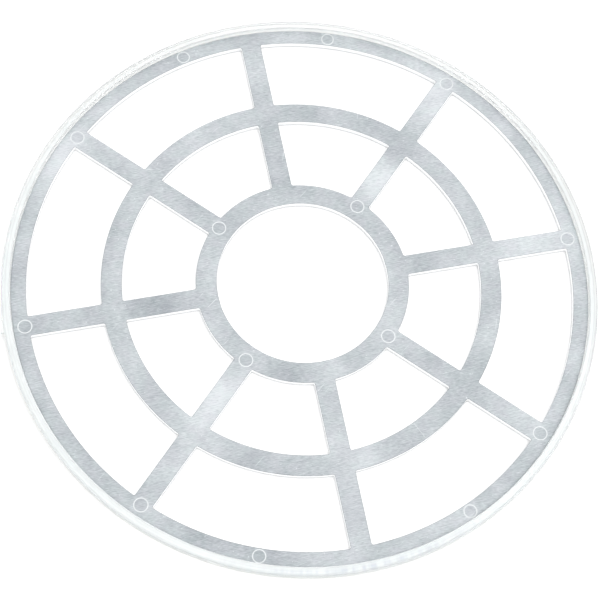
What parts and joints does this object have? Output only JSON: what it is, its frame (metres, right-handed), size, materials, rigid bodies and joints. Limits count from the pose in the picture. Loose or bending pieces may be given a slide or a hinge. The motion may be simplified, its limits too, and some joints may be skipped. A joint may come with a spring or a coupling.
{
  "type": "film developing reel side",
  "caption": "Flat open flange of a film developing reel: frosted clear web of rings and straight spokes in a polished clear raised rim, with a round core hole.",
  "frame": {"origin": "on the reel's axis, in the plane of the underside", "axes": "+Z along the reel's axis, up through the face with the raised lip; +X along a spoke"},
  "size_m": [0.1788, 0.1778, 0.004],
  "materials": {
    "frosted_web": "frosted clear polystyrene with a fine brushed grain",
    "clear_rim": "polished clear polystyrene"
  },
  "bodies": {
    "root": {"spoked_web": "frosted_web", "rim_ring": "clear_rim"}
  },
  "joints": []
}
